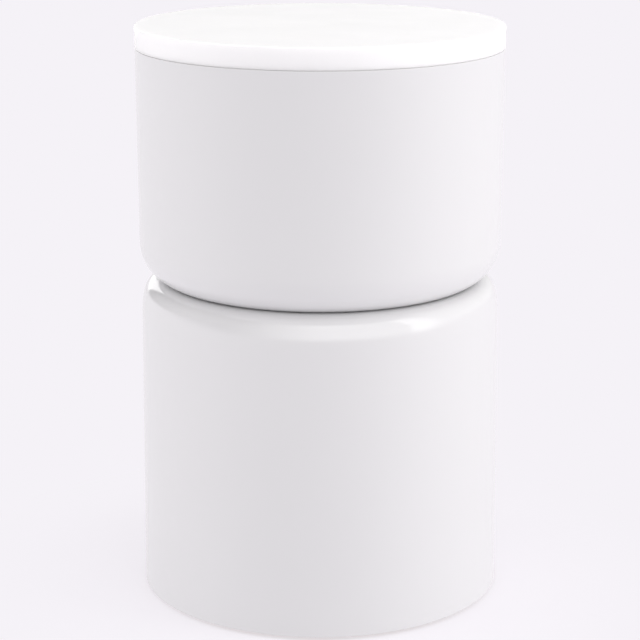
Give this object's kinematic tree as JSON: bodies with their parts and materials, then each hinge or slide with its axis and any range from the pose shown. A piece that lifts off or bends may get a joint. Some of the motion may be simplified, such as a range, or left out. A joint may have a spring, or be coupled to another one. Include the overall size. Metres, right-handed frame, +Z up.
{
  "type": "drum side table",
  "caption": "Round side table of stacked gloss drums with a pinched waist; a flush lid lifts off a storage well, and a weighted foot stands on glides.",
  "frame": {"origin": "on the floor, at the middle of the foot", "axes": "+Z up along the drums' shared axis, -Y towards the picture's camera, +X to its right"},
  "size_m": [0.33, 0.33, 0.52],
  "materials": {
    "lid_stone": "polished white solid surface, slightly translucent",
    "drum_gloss": "high gloss white lacquer on a moulded shell",
    "spigot_plastic": "satin white plastic",
    "insert_brass": "turned brass",
    "gasket_rubber": "matt white foam rubber",
    "ledge_aluminium": "satin extruded aluminium",
    "clamp_paint": "light grey powder coat",
    "spacer_plastic": "matt off-white sheet",
    "foot_plywood": "birch plywood, clear sealed",
    "ballast_iron": "black sprayed casting",
    "glide_nylon": "grey nylon",
    "zinc_steel": "bright zinc plate"
  },
  "bodies": {
    "drum": {"mouth_gasket": "gasket_rubber", "mouth_ring": "ledge_aluminium", "upper_drum": "drum_gloss", "clamp_disc": "clamp_paint", "waist_spacer": "spacer_plastic", "lower_drum": "drum_gloss", "base_ring": "foot_plywood", "base_plate": "foot_plywood", "ballast_plate": "ballast_iron", "glides": "glide_nylon", "waist_studs": "zinc_steel", "waist_washers": "zinc_steel", "waist_nuts": "zinc_steel", "lower_clamp_ring": "zinc_steel", "base_screws": "zinc_steel", "ballast_bolts": "zinc_steel", "ballast_washers": "zinc_steel", "ballast_nuts": "zinc_steel", "glide_screws": "zinc_steel"},
    "lid": {"lid_slab": "lid_stone", "lid_inserts": "insert_brass", "lid_ring": "spigot_plastic", "lid_ring_screws": "zinc_steel"}
  },
  "joints": [
    {"name": "lid_lift", "type": "slide", "parent": "drum", "child": "lid", "axis": [0, 0, 1], "range_m": [0, 0.15]}
  ]
}
